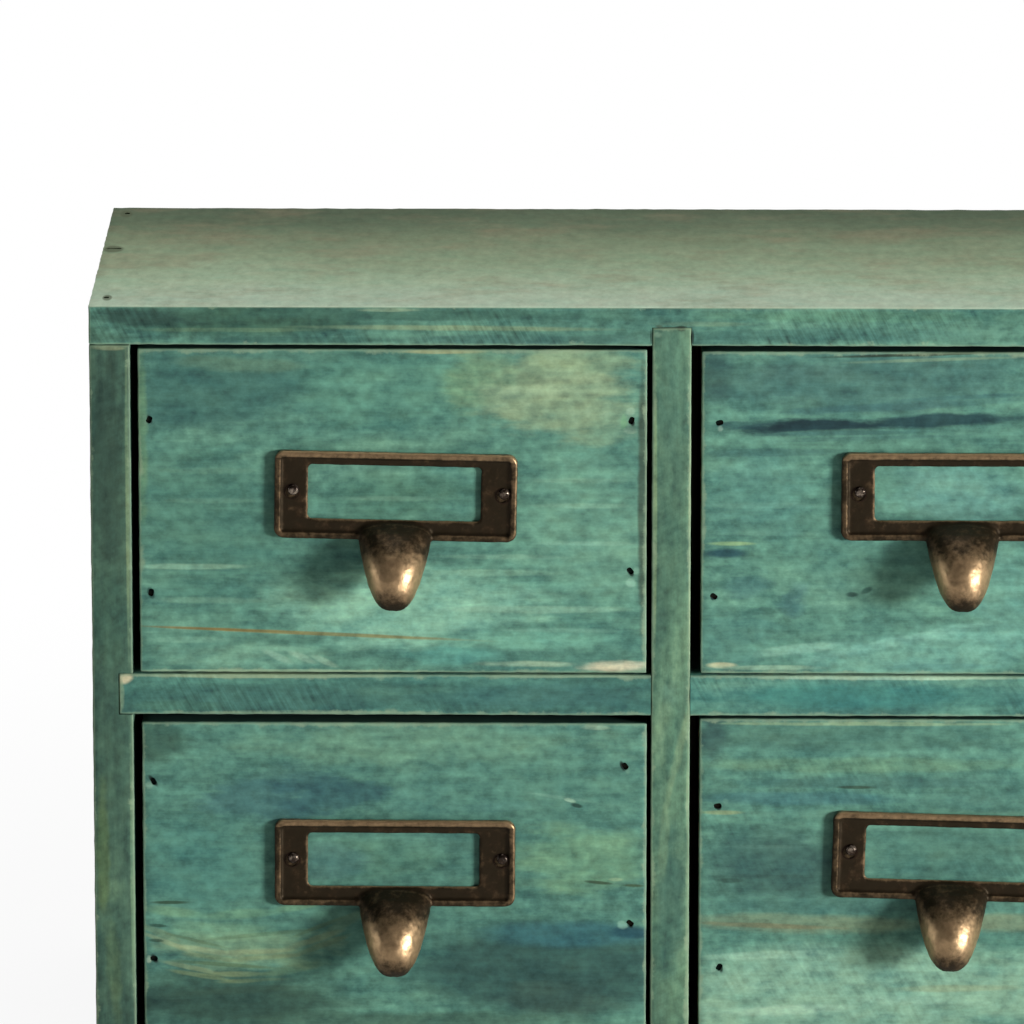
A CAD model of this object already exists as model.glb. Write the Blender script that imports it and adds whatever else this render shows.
import math
import bmesh
import bpy
import numpy as np
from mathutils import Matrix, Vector


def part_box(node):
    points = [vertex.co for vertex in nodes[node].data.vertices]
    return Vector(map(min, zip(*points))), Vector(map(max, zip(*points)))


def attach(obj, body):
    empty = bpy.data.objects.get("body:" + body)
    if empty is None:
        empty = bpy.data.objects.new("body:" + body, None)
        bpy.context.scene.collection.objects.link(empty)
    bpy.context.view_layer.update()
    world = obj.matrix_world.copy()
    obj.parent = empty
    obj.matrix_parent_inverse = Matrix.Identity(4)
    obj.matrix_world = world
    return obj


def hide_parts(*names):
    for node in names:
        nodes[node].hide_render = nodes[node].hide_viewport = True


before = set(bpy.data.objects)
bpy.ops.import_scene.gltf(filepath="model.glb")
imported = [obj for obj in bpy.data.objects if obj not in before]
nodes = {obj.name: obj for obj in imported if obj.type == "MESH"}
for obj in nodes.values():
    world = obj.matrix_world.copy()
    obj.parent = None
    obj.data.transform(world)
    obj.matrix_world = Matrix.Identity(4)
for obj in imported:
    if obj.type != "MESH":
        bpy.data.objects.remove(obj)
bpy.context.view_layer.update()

# Bottom board
# The board that the unit stands on: planed pine about 10 mm thick, grain from side to side, housed for the
# divider and rebated for the back panel. It is stained blue-green and nailed up into the side panels.

MM = 0.001
NET = 2.2 * MM  # spacing of the net of edges that lets planed faces and worn edges be uneven
STRIPS_AT_ONCE = 90  # the most strips that one subdivision makes
ARRIS = 0.45 * MM  # rounding of a board's handled edges
NICK = 0.5 * MM  # deepest dent in a worn edge
NICK_REACH = 2.5  # how far in from an edge its dents go, in times its rounding
NICK_SHARE = 0.62  # the share of an edge that is dented
PLANING = 0.1 * MM  # unevenness of a planed face
PAST = 5 * MM  # how far a cutter reaches past the wood
HEAD_REACH = 3 * MM  # how far the punch for sunk nail heads reaches past them
HEAD_ROUND = 0.6 * MM  # rounding of its corners
HEAD_SLACK = 0.08 * MM  # its slack all round them
HOUSING = 5.05 * MM  # half the width of the divider's housing
HOUSING_DEPTH = 4.85 * MM
REBATE = 5.0 * MM  # the back panel's rebate, across a board's inner edge
REBATE_IN = 3.0 * MM  # and in from the back
ALONG_X = (0, 0, 0)  # turn of the figure for boards whose grain runs from side to side
ALONG_Z = (0, math.pi / 2, 0)  # and for upright boards

side_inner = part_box("left_side_panel")[1].x


def take_up(piece):
    """Makes this piece the only one selected, and the active one."""
    bpy.ops.object.select_all(action="DESELECT")
    piece.select_set(True)
    bpy.context.view_layer.objects.active = piece


def fix_place():
    """Works the taken-up piece's place, turn and scale into its mesh."""
    bpy.ops.object.transform_apply(location=True, rotation=True, scale=True)


def finish_with(piece, kind, **settings):
    """Puts a modifier on a piece and applies it."""
    take_up(piece)
    modifier = piece.modifiers.new(kind.lower(), kind)
    for name, value in settings.items():
        setattr(modifier, name, value)
    bpy.ops.object.modifier_apply(modifier=modifier.name)


def copy_of(piece, name):
    """A copy with its own mesh, free and taken up."""
    copy = piece.copy()
    copy.data = piece.data.copy()
    copy.name = name
    copy.parent = None
    bpy.context.scene.collection.objects.link(copy)
    take_up(copy)
    return copy


def pick(piece, kind, wanted):
    """In edit mode, selects only the faces or edges that are wanted."""
    bpy.ops.mesh.select_mode(type=kind)
    bpy.ops.mesh.select_all(action="DESELECT")
    mesh = bmesh.from_edit_mesh(piece.data)
    for part in mesh.faces if kind == "FACE" else mesh.edges:
        if wanted(part):
            part.select_set(True)
    bmesh.update_edit_mesh(piece.data)


def runs_along(edge, way):
    """Whether an edge runs this way."""
    run = edge.verts[0].co - edge.verts[1].co
    return abs(run.dot(way)) > 0.99 * run.length


def sawn_block(name, low, high, net=None):
    """A block of wood or brass between two corners, with a net of edges over it if a spacing is given."""
    low, high = Vector(low), Vector(high)
    bpy.ops.object.select_all(action="DESELECT")
    bpy.ops.mesh.primitive_cube_add(size=1, location=(low + high) / 2, scale=high - low)
    block = bpy.context.object
    block.name = name
    fix_place()
    if net is None:
        return block
    bpy.ops.object.mode_set(mode="EDIT")
    for axis in range(3):
        way = Vector([float(i == axis) for i in range(3)])
        strips = math.ceil((high - low)[axis] / net)
        rough_cuts = math.ceil(strips / STRIPS_AT_ONCE)
        for cuts in (rough_cuts - 1, math.ceil(strips / rough_cuts) - 1):
            if cuts > 0:
                pick(block, "EDGE", lambda edge: runs_along(edge, way))
                bpy.ops.mesh.subdivide(number_cuts=cuts)
    bpy.ops.object.mode_set(mode="OBJECT")
    return block


def noise_relief(name, size, depth=2):
    """A cloudy unevenness whose bumps are about this large."""
    relief = bpy.data.textures.new(name, "CLOUDS")
    relief.noise_scale = size
    relief.noise_depth = depth
    return relief


hand_planing = noise_relief("hand_planing", 14 * MM)
edge_dents = noise_relief("edge_dents", 2.6 * MM, 3)


def roughen(piece, relief, depth, middle=1.0, **where):
    """Moves a piece's surface in and out by a relief of this depth."""
    texture = {"texture": relief, "texture_coords": "LOCAL", "mid_level": middle}
    finish_with(piece, "DISPLACE", strength=depth, **texture, **where)


def planed_board(node, arris=ARRIS):
    """A board in its CAD node's place, with rounded edges dented here and there and slightly uneven faces."""
    low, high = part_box(node)
    board = sawn_block("stained_" + node, low, high, NET)
    finish_with(board, "BEVEL", width=arris, segments=3, limit_method="ANGLE", angle_limit=math.radians(50))
    edges = board.vertex_groups.new(name="edges")
    for vertex in board.data.vertices:
        gaps = sorted(min(vertex.co[i] - low[i], high[i] - vertex.co[i]) for i in range(3))
        nearness = 1 - gaps[1] / (NICK_REACH * arris)
        if nearness > 0:
            edges.add([vertex.index], nearness, "REPLACE")
    roughen(board, edge_dents, NICK, NICK_SHARE, vertex_group="edges")
    roughen(board, hand_planing, PLANING)
    for vertex in board.data.vertices:
        for i in range(3):
            vertex.co[i] = min(max(vertex.co[i], low[i]), high[i])
    board.vertex_groups.clear()
    return board, low, high


def cut_away(board, tool):
    """Takes the tool's shape out of the board, and puts the tool away."""
    finish_with(board, "BOOLEAN", object=tool, operation="DIFFERENCE", solver="EXACT")
    bpy.data.objects.remove(tool)


def recess(board, low, high):
    """Cuts a square recess between two corners."""
    cut_away(board, sawn_block("cutter", low, high))


def sunk(inner, outward, depth):
    """From where to where a recess of this depth runs into the wood behind a board's inner face."""
    return sorted((inner + outward * depth, inner - outward * PAST))


def let_in(board, low, high, inner, outward):
    """Cuts the divider's housing and the back panel's rebate into a top or bottom board."""
    housing = (HOUSING, low.y - PAST, HOUSING_DEPTH)
    rebate = (REBATE - side_inner, high.y - REBATE_IN, REBATE)
    for half, front, depth in (housing, rebate):
        floor, mouth = sunk(inner, outward, depth)
        recess(board, (-half, front, floor), (half, high.y + PAST, mouth))


def punch(board, nails, outward, slack=HEAD_SLACK):
    """Leaves the pockets of sunk nail heads. The tool is a copy of the nails with some slack, and with their
    heads drawn out past the wood and rounded."""
    outward = Vector(outward)
    tool = copy_of(nodes[nails], "punch")
    bpy.ops.object.mode_set(mode="EDIT")
    bpy.ops.mesh.select_mode(type="FACE")
    bpy.ops.mesh.select_all(action="SELECT")
    bpy.ops.mesh.remove_doubles(threshold=0.001 * MM)
    pick(tool, "FACE", lambda face: face.normal.dot(outward) > 0.99)
    bpy.ops.mesh.extrude_region_move(TRANSFORM_OT_translate={"value": outward * HEAD_REACH})
    bpy.ops.mesh.select_all(action="SELECT")
    bpy.ops.transform.shrink_fatten(value=slack)
    mesh = bmesh.from_edit_mesh(tool.data)
    far_end = max(vertex.co.dot(outward) for vertex in mesh.verts) - 0.1 * MM
    far = lambda edge: max(vertex.co.dot(outward) for vertex in edge.verts) > far_end
    pick(tool, "EDGE", lambda edge: runs_along(edge, outward) and far(edge))
    bpy.ops.mesh.bevel(offset=HEAD_ROUND, segments=4, affect="EDGES", clamp_overlap=True)
    bpy.ops.object.mode_set(mode="OBJECT")
    cut_away(board, tool)


def settle(piece, body, node):
    """Shades a finished piece, stands it in for its CAD node and lets it ride on its body."""
    take_up(piece)
    bpy.ops.object.shade_smooth_by_angle(angle=math.radians(35))
    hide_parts(node)
    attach(piece, body)


def dye(red, green, blue):
    """A colour as the eye reads it, from 0 to 255, turned into the light that a surface gives back."""
    parts = [part / 255 for part in (red, green, blue)]
    return (*[p / 12.92 if p < 0.04 else ((p + 0.055) / 1.055) ** 2.4 for p in parts], 1.0)


def wire(tree, kind, feeds=(), out=0, **settings):
    """Adds a shader node, sets it, feeds its inputs and gives back one of its outputs, or with None all."""
    node = tree.nodes.new("ShaderNode" + kind)
    for name, value in settings.items():
        setattr(node, name, value)
    for socket, feed in dict(feeds).items():
        if isinstance(feed, bpy.types.NodeSocket):
            tree.links.new(feed, node.inputs[socket])
        else:
            node.inputs[socket].default_value = feed
    return node.outputs if out is None else node.outputs[out]


def reckon(tree, operation, *values, clamp=False):
    """One sum on numbers."""
    return wire(tree, "Math", enumerate(values), operation=operation, use_clamp=clamp)


def weigh(tree, total, *parts):
    """Adds to a value each part times its weight."""
    for part, weight in parts:
        total = reckon(tree, "MULTIPLY_ADD", part, weight, total)
    return total


def off_middle(tree, value):
    """How far a value is above or below one half."""
    return reckon(tree, "SUBTRACT", value, 0.5)


def shift(tree, operation, *values, out=0):
    """One sum on places."""
    return wire(tree, "VectorMath", enumerate(values), out, operation=operation)


def fade(tree, value, start, end, low=0.0, high=1.0):
    """Runs smoothly from low to high while value goes from start to end."""
    feeds = {"Value": value, "From Min": start, "From Max": end, "To Min": low, "To Max": high}
    return wire(tree, "MapRange", feeds, interpolation_type="SMOOTHSTEP")


def speckle(tree, place, scale, detail=2.0, roughness=0.55, distortion=0.0, out="Fac"):
    """Noise drawn out as the scale along each axis says."""
    stretched = shift(tree, "MULTIPLY", place, scale)
    feeds = {"Vector": stretched, "Scale": 1.0, "Detail": detail, "Roughness": roughness}
    return wire(tree, "TexNoise", {**feeds, "Distortion": distortion}, out)


def blend_colour(tree, amount, first, second):
    """Lays the second colour over the first."""
    return wire(tree, "Mix", {0: amount, 6: first, 7: second}, 2, data_type="RGBA", clamp_factor=True)


def new_group(name, inputs, outputs):
    """A shader node group with these named inputs and their values, and these named number outputs."""
    tree = bpy.data.node_groups.new(name, "ShaderNodeTree")
    for label, value in {"Place": (0.0, 0.0, 0.0), **inputs}.items():
        kind = "NodeSocketVector" if isinstance(value, tuple) else "NodeSocketFloat"
        tree.interface.new_socket(name=label, in_out="INPUT", socket_type=kind).default_value = value
    for label in outputs:
        tree.interface.new_socket(name=label, in_out="OUTPUT", socket_type="NodeSocketFloat")
    return tree, tree.nodes.new("NodeGroupInput").outputs, tree.nodes.new("NodeGroupOutput").inputs


def pine_figure_group():
    """Sawn pine, in millimetres with its grain along X: growth rings, fibres, cloudy uptake and saw marks."""
    outputs = ("Rings", "Fibre", "Cloud", "Saw", "Speck", "Tint")
    tree, given, made = new_group("pine_figure", {"Pith": (0.0, 30.0, 12.0), "Ring": 3.0}, outputs)
    place = given["Place"]
    wander = speckle(tree, place, (0.007, 0.022, 0.022), 2.0, out="Color")
    drift = shift(tree, "MULTIPLY", shift(tree, "SUBTRACT", wander, (0.5, 0.5, 0.5)), (0, 10, 10))
    from_pith = shift(tree, "SUBTRACT", shift(tree, "ADD", place, drift), given["Pith"])
    radius = shift(tree, "LENGTH", shift(tree, "MULTIPLY", from_pith, (0, 1, 1)), out="Value")
    turns = reckon(tree, "DIVIDE", radius, given["Ring"])
    late_wood = reckon(tree, "POWER", reckon(tree, "PINGPONG", turns, 0.5), 2.5)
    year = wire(tree, "TexWhiteNoise", {"W": reckon(tree, "FLOOR", turns)}, noise_dimensions="1D")
    patch = fade(tree, speckle(tree, place, (0.02, 0.06, 0.06), 2.0), 0.35, 0.62)
    strength = reckon(tree, "MULTIPLY", weigh(tree, 1.2, (year, 4.4)), patch)
    leaning = wire(tree, "VectorRotate", {"Vector": place, "Angle": -1.08}, rotation_type="Y_AXIS")
    strokes = off_middle(tree, speckle(tree, leaning, (0.1, 0.5, 0.95), 2.0, 0.5))
    cut = fade(tree, speckle(tree, place, (0.02, 0.05, 0.05), 1.0), 0.4, 0.6)
    results = (
        reckon(tree, "MULTIPLY", late_wood, strength),
        speckle(tree, place, (0.03, 0.42, 0.42), 5.0, 0.65),
        speckle(tree, place, (0.012, 0.05, 0.05), 3.0, 0.6, 0.5),
        weigh(tree, 0.5, (strokes, cut)),
        speckle(tree, place, (0.32, 0.4, 0.4), 3.0, 0.6),
        speckle(tree, place, (0.07, 0.17, 0.17), 4.0, 0.65),
    )
    for label, result in zip(outputs, results):
        tree.links.new(result, made[label])
    return tree


def stain_mark_group():
    """One ragged patch or streak of stain, in millimetres about its centre."""
    inputs = {"Centre": (0.0, 0.0, 0.0), "Half": (10.0, 99.0, 5.0), "Turn": 0.0, "Rag": 0.4}
    inputs["Grain"] = (0.045, 0.17, 0.17)
    tree, given, made = new_group("stain_mark", inputs, ("Mask",))
    away = shift(tree, "SUBTRACT", given["Place"], given["Centre"])
    turned = wire(tree, "VectorRotate", {"Vector": away, "Angle": given["Turn"]}, rotation_type="Y_AXIS")
    reach = shift(tree, "DIVIDE", turned, given["Half"])
    fray = speckle(tree, given["Place"], given["Grain"], 5.0, 0.6, out="Color")
    fray = shift(tree, "SUBTRACT", fray, (0.5, 0.5, 0.5))
    pull = reckon(tree, "MULTIPLY", given["Rag"], 4.0)
    fray = wire(tree, "VectorMath", {0: fray, "Scale": pull}, operation="SCALE")
    distance = shift(tree, "LENGTH", shift(tree, "ADD", reach, fray), out="Value")
    tree.links.new(fade(tree, distance, 1.25, 0.75), made["Mask"])
    return tree


def worn_edge_group():
    """Where stain has rubbed off along the edges of a board between two corners, in millimetres."""
    inputs = {"Low": (0.0, 0.0, 0.0), "High": (10.0, 10.0, 10.0), "Width": 0.9, "Cover": 0.5}
    tree, given, made = new_group("worn_edge", inputs, ("Mask",))
    to_low = shift(tree, "SUBTRACT", given["Place"], given["Low"])
    to_high = shift(tree, "SUBTRACT", given["High"], given["Place"])
    gaps = wire(tree, "SeparateXYZ", {0: shift(tree, "MINIMUM", to_low, to_high)}, None)
    lesser = reckon(tree, "MINIMUM", gaps[0], gaps[1])
    larger = reckon(tree, "MAXIMUM", gaps[0], gaps[1])
    edge_gap = reckon(tree, "MAXIMUM", lesser, reckon(tree, "MINIMUM", larger, gaps[2]))
    bare_from = reckon(tree, "SUBTRACT", 0.72, reckon(tree, "MULTIPLY", given["Cover"], 0.45))
    patchy = fade(tree, speckle(tree, given["Place"], (0.16, 0.16, 0.16), 4.0, 0.7), bare_from, 0.78)
    reach = reckon(tree, "MULTIPLY", given["Width"], weigh(tree, 0.9, (patchy, 1.6)))
    rubbed = fade(tree, reckon(tree, "DIVIDE", edge_gap, reach), 1.0, 0.35)
    tree.links.new(reckon(tree, "MULTIPLY", rubbed, weigh(tree, 0.5, (patchy, 0.5))), made["Mask"])
    return tree


pine_figure = pine_figure_group()
stain_mark = stain_mark_group()
worn_edge = worn_edge_group()

# Blue-green stain, from where the wood took most of it to where it took least: how far along, and the dye
TEAL = (
    (0.0, 58, 94, 90), (0.35, 76, 122, 109), (0.6, 92, 141, 123),
    (0.85, 112, 157, 134), (1.0, 134, 172, 144),
)
RUBBED_PINE = dye(150, 172, 140)  # pale wood where the stain has worn through
SOAKED_STAIN = dye(22, 44, 41)  # on the narrow faces of a front
SHADED_STAIN = dye(38, 50, 44)  # towards the back of the unit
STAIN_RELIEF = 0.12 * MM


def colour_run(tree, value, stops):
    """Colours laid along a run from 0 to 1."""
    run = tree.nodes.new("ShaderNodeValToRGB")
    while len(run.color_ramp.elements) < len(stops):
        run.color_ramp.elements.new(0.5)
    for element, (position, *colour) in zip(run.color_ramp.elements, stops):
        element.position = position
        element.color = dye(*colour)
    tree.links.new(value, run.inputs[0])
    return run.outputs[0]


def millimetres(tree):
    """Each point's place on the piece, in millimetres."""
    feeds = {0: wire(tree, "TexCoord", (), "Object"), "Scale": 1 / MM}
    return wire(tree, "VectorMath", feeds, operation="SCALE")


def new_finish(name):
    """An empty material and its node tree."""
    finish = bpy.data.materials.new(name)
    finish.use_nodes = True
    finish.node_tree.nodes.clear()
    return finish, finish.node_tree


def close_finish(tree, surface):
    """Joins the surface to the material's output."""
    tree.links.new(surface, tree.nodes.new("ShaderNodeOutputMaterial").inputs["Surface"])


def coated_surface(tree, colour, rough, height, relief, shine, metallic=0.0):
    """The shader of a coated surface, with a relief of this depth."""
    bump = wire(tree, "Bump", {"Height": height, "Strength": 0.5, "Distance": relief})
    feeds = {"Base Color": colour, "Roughness": rough, "Normal": bump, "Specular IOR Level": shine}
    close_finish(tree, wire(tree, "BsdfPrincipled", {**feeds, "Metallic": metallic}))


def give(piece, finish):
    """Puts a finish on a piece in place of any other."""
    piece.data.materials.clear()
    piece.data.materials.append(finish)


def stain(board, low, high, grain, seed, stops=TEAL, marks=(), pith=(0, 30, 12), ring=3.0, cover=0.5,
          shade=(0.5, 1.0), tone=1.0, saw=0.10, inside=0.35, lines=-0.1, rim=0.0):
    """Stained pine for one board. A mark is a patch or streak on its front face: its centre across and up
    from the lower left corner and its half sizes in millimetres, its colour, its strength and raggedness in
    hundredths, and, if it leans, by how many degrees. The rim is how dark the stain soaked into the narrow
    faces behind the front edge."""
    finish, tree = new_finish(board.name + "_stain")
    place = millimetres(tree)
    feeds = {"Vector": place, "Rotation": grain, "Location": (seed * 37.0, 0.0, seed * 7.3)}
    feeds = {"Place": wire(tree, "Mapping", feeds), "Pith": pith, "Ring": ring}
    figure = wire(tree, "Group", feeds, None, node_tree=pine_figure)
    fibre, speck, sawn, tint = (off_middle(tree, figure[name]) for name in ("Fibre", "Speck", "Saw", "Tint"))
    cloud = off_middle(tree, fade(tree, figure["Cloud"], 0.23, 0.77))
    uptake = weigh(tree, shade[0], (cloud, shade[1] * 0.8), (fibre, 0.35), (speck, 0.3))
    colour = colour_run(tree, uptake, stops)
    for across, up, half_w, half_h, red, green, blue, strength, rag, *turn in marks:
        feeds = {"Place": place, "Centre": (low.x / MM + across, 0.0, low.z / MM + up)}
        feeds.update({"Half": (half_w, 99.0, half_h), "Turn": math.radians(sum(turn)), "Rag": rag / 100})
        mask = wire(tree, "Group", feeds, "Mask", node_tree=stain_mark)
        mask = reckon(tree, "MULTIPLY", mask, strength / 100)
        colour = blend_colour(tree, mask, colour, dye(red, green, blue))
    rings = (figure["Rings"], lines)
    detail = weigh(tree, tone, (fibre, 0.65), rings, (sawn, saw * 4), (speck, 1.15), (tint, 1.2))
    tinted = {0: weigh(tree, detail, (tint, 0.5)), 1: detail, 2: weigh(tree, detail, (tint, -0.3))}
    colour = shift(tree, "MULTIPLY", colour, wire(tree, "CombineXYZ", tinted))
    feeds = {"Place": place, "Low": [c / MM for c in low], "High": [c / MM for c in high], "Cover": cover}
    rubbed = wire(tree, "Group", feeds, "Mask", node_tree=worn_edge)
    colour = blend_colour(tree, reckon(tree, "MULTIPLY", rubbed, 0.7), colour, RUBBED_PINE)
    parts = wire(tree, "SeparateXYZ", {0: place}, None)
    depth = reckon(tree, "SUBTRACT", parts["Y"], low[1] / MM)
    colour = blend_colour(tree, fade(tree, depth, 0.8, 9.0, 0.0, inside), colour, SHADED_STAIN)
    if rim:
        gap = 99.0
        for i, end in ((0, low), (0, high), (2, low), (2, high)):
            away = reckon(tree, "ABSOLUTE", reckon(tree, "SUBTRACT", parts[i], end[i] / MM))
            gap = reckon(tree, "MINIMUM", away, gap)
        soaked = reckon(tree, "MULTIPLY", fade(tree, gap, 0.8, 0.25), fade(tree, depth, 0.45, 1.2))
        colour = blend_colour(tree, reckon(tree, "MULTIPLY", soaked, rim), colour, SOAKED_STAIN)
    height = weigh(tree, 0.0, (figure["Rings"], 0.2), (figure["Fibre"], 0.6))
    height = weigh(tree, height, (figure["Saw"], saw * 4), (figure["Speck"], 0.5))
    rough = weigh(tree, 0.5, (figure["Fibre"], 0.3))
    coated_surface(tree, colour, rough, height, STAIN_RELIEF, 0.25)
    give(board, finish)


bottom_board, low, high = planed_board("bottom_board")
let_in(bottom_board, low, high, high.z, -1)
punch(bottom_board, "bottom_brads", (0, 0, -1))
stain(bottom_board, low, high, ALONG_X, 3, pith=(0, 25, -18))
settle(bottom_board, "carcass", "bottom_board")

# Side panels
# Two upright pine boards between the top and bottom boards, grain up and down, housed for the shelf's ends
# and rebated for the back panel. The one on the left is in shade and reads darker.

DADO_DEPTH = 3.75 * MM
GLUE_LINE = 0.05 * MM
shelf_low, shelf_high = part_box("shelf")
dado_floor = shelf_low.z - GLUE_LINE
dado_top = shelf_high.z + GLUE_LINE
SIDE_TEAL = ((0.0, 48, 74, 65), (0.4, 62, 92, 78), (0.7, 76, 108, 90), (1.0, 98, 130, 100))
SIDE_MARKS = {
    "left": (
        (4.7, 150.1, 4.6, 34.4, 52, 78, 66, 85, 20), (4.8, 110.4, 4.6, 15.9, 64, 98, 82, 70, 25),
        (4.9, 73.3, 4.6, 18.5, 68, 100, 84, 60, 30), (9.5, 142.2, 0.6, 45, 122, 148, 112, 75, 8),
        (9.8, 46.8, 0.6, 39.7, 116, 150, 118, 65, 10), (5, 182.4, 5.1, 0.79, 140, 152, 118, 65, 25),
        (2.3, 49.5, 2.1, 21.2, 86, 110, 72, 75, 20), (4.8, 19, 2.3, 15.9, 92, 118, 84, 55, 25, 4),
        (2.8, 168.6, 1.3, 7.9, 42, 64, 54, 50, 30),
    ),
    "right": (
        (6, 120, 4, 40, 64, 96, 86, 50, 30), (3, 50, 2, 30, 118, 150, 118, 40, 30, 2),
    ),
}
for seed, (hand, outward) in enumerate((("left", -1), ("right", 1))):
    node = hand + "_side_panel"
    panel, low, high = planed_board(node)
    inner = high.x if outward < 0 else low.x
    left, right = sunk(inner, outward, DADO_DEPTH)
    recess(panel, (left, low.y - PAST, dado_floor), (right, high.y + PAST, dado_top))
    left, right = sunk(inner, outward, REBATE)
    recess(panel, (left, high.y - REBATE_IN, low.z - PAST), (right, high.y + PAST, high.z + PAST))
    punch(panel, "shelf_brads", (outward, 0, 0))
    stain(panel, low, high, ALONG_Z, 5 + seed, SIDE_TEAL, SIDE_MARKS[hand], (0, 20, 25), 2.4, 0.45, tone=0.95)
    settle(panel, "carcass", node)

# Shelf
# The pine board between the rows. Its ends are housed in the side panels, it crosses the divider in a half
# lap, and brads hold it through the panels. Its upper front edge is the most worn.

SHELF_TEAL = ((0.0, 56, 96, 92), (0.35, 68, 114, 103), (0.65, 82, 133, 119), (1.0, 112, 156, 134))
SHELF_MARKS = (
    (38.7, 4.7, 40.9, 4.2, 65, 108, 99, 85, 20), (107.7, 5, 33.2, 4, 66, 112, 105, 90, 20),
    (189.6, 5.2, 46, 4, 59, 119, 112, 90, 20), (245.8, 5.4, 30.7, 4, 66, 114, 106, 85, 20),
    (77, 6.7, 15.3, 1.6, 80, 124, 108, 50, 30), (13.1, 2.3, 12.8, 1.6, 74, 116, 98, 50, 30),
    (1.6, 9.4, 2.6, 1.5, 202, 196, 162, 92, 20, 15), (0.6, 4.9, 0.9, 4.8, 128, 154, 124, 70, 20),
    (38.7, 10.3, 40.9, 0.64, 150, 172, 138, 75, 20), (112.8, 10.5, 23, 0.58, 146, 178, 148, 65, 25),
    (197.2, 10.3, 38.3, 0.74, 160, 194, 168, 85, 20), (46.3, 0.8, 38.4, 0.42, 120, 150, 124, 50, 30),
)
shelf, low, high = planed_board("shelf")
lap_back = (low.y + high.y) / 2 + GLUE_LINE
recess(shelf, (-HOUSING, low.y - PAST, low.z - PAST), (HOUSING, lap_back, high.z + PAST))
stain(shelf, low, high, ALONG_X, 9, SHELF_TEAL, SHELF_MARKS, (0, 22, 140), 2.6, 0.75, saw=0.32)
settle(shelf, "carcass", "shelf")

# Divider
# The upright pine board between the columns, let into the top and bottom boards, with both front edges
# rubbed pale.

DIVIDER_ARRIS = 0.35 * MM
DIVIDER_TEAL = ((0.0, 66, 100, 86), (0.4, 82, 118, 98), (0.7, 96, 134, 108), (1.0, 122, 154, 122))
DIVIDER_MARKS = (
    (5, 188.3, 4.6, 5.3, 92, 132, 110, 60, 30), (7.3, 192.4, 1.4, 0.58, 36, 50, 38, 85, 30),
    (1.2, 190.9, 1.3, 0.95, 146, 176, 146, 60, 30), (5.1, 173.7, 4.6, 15.9, 86, 126, 106, 60, 30),
    (5, 131.4, 4.6, 23.8, 84, 122, 100, 60, 30), (5.1, 41.4, 4.4, 29.1, 68, 106, 92, 85, 30),
    (0.9, 144.6, 0.6, 39.7, 136, 164, 122, 75, 8), (9.8, 142, 0.5, 39.7, 140, 166, 130, 70, 8),
    (9.4, 46.7, 0.5, 37.1, 124, 156, 122, 60, 10), (7.2, 81.6, 1.4, 16.9, 126, 154, 118, 60, 20, -13),
    (3.5, 57.8, 1.5, 12.2, 116, 146, 112, 45, 20, -3), (5.4, 97, 3.6, 4.2, 96, 138, 118, 60, 30),
)
divider, low, high = planed_board("divider", DIVIDER_ARRIS)
lap_front = (low.y + high.y) / 2
recess(divider, (low.x - PAST, lap_front, dado_floor), (high.x + PAST, high.y + PAST, dado_top))
stain(divider, low, high, ALONG_Z, 13, DIVIDER_TEAL, DIVIDER_MARKS, (0, 18, 22), 2.6, 0.6, tone=0.93)
settle(divider, "carcass", "divider")

# Top board
# The pine board over everything, with its front face stained like the drawers. Its upper face was rubbed
# back to a pale grey-green that darkens towards the back, and nail heads show at its ends.

TIGHT = 0.02 * MM  # slack round the nail heads of the top
# Grime round the nail heads of the upper face: places and half sizes, the same at both ends
TOP_DENTS = ((145.1, 7.5, 2.5, 4.2), (143.6, -50.8, 1.2, 3.2), (144.0, 51.6, 1.6, 4.0))
# The upper face's colours from its front edge to its back edge
SUN_PALE = (
    (0.05, 166, 184, 161), (0.26, 152, 172, 144), (0.46, 133, 150, 121),
    (0.67, 112, 126, 99), (0.84, 88, 103, 80), (0.96, 76, 90, 69),
)
BLUSH = dye(132, 120, 96)
GRIME = dye(76, 84, 62)
TOP_MARKS = (
    (38.5, 6.1, 38, 4.2, 66, 104, 85, 85, 25), (13.2, 7.3, 17.7, 2.9, 48, 80, 72, 85, 30),
    (5.5, 1.8, 11.1, 1.6, 58, 88, 76, 60, 30), (86.6, 8, 50.6, 1.8, 68, 109, 95, 80, 25),
    (35.9, 4, 30.4, 0.68, 106, 138, 108, 60, 20), (94.2, 4.6, 43.1, 0.83, 132, 158, 124, 75, 15, -0.3),
    (109.4, 1.8, 38, 1.6, 74, 116, 106, 75, 20), (53.6, 1.4, 30.4, 1, 58, 98, 88, 60, 20),
    (134.7, 7.9, 15.2, 2.1, 82, 129, 112, 60, 30), (195.5, 7.8, 50.6, 1.8, 92, 140, 116, 80, 20),
    (190.4, 3.1, 48.1, 2.1, 74, 120, 109, 80, 20), (256.2, 7.1, 38, 3.1, 92, 138, 118, 70, 20),
    (155, 5.8, 15.2, 0.78, 126, 160, 130, 50, 20), (76.5, 9.3, 10.1, 0.52, 146, 170, 140, 50, 30),
    (147.9, 4.8, 5.3, 0.34, 46, 60, 46, 80, 12), (142.7, 2.4, 0.4, 2.1, 40, 60, 50, 75, 10),
    (153.2, 2.4, 0.5, 2.3, 30, 42, 36, 85, 10), (150.2, 4.9, 1.6, 0.62, 36, 50, 38, 85, 30),
    (144.6, 5.2, 1.3, 0.47, 78, 80, 58, 60, 30),
)


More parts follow.
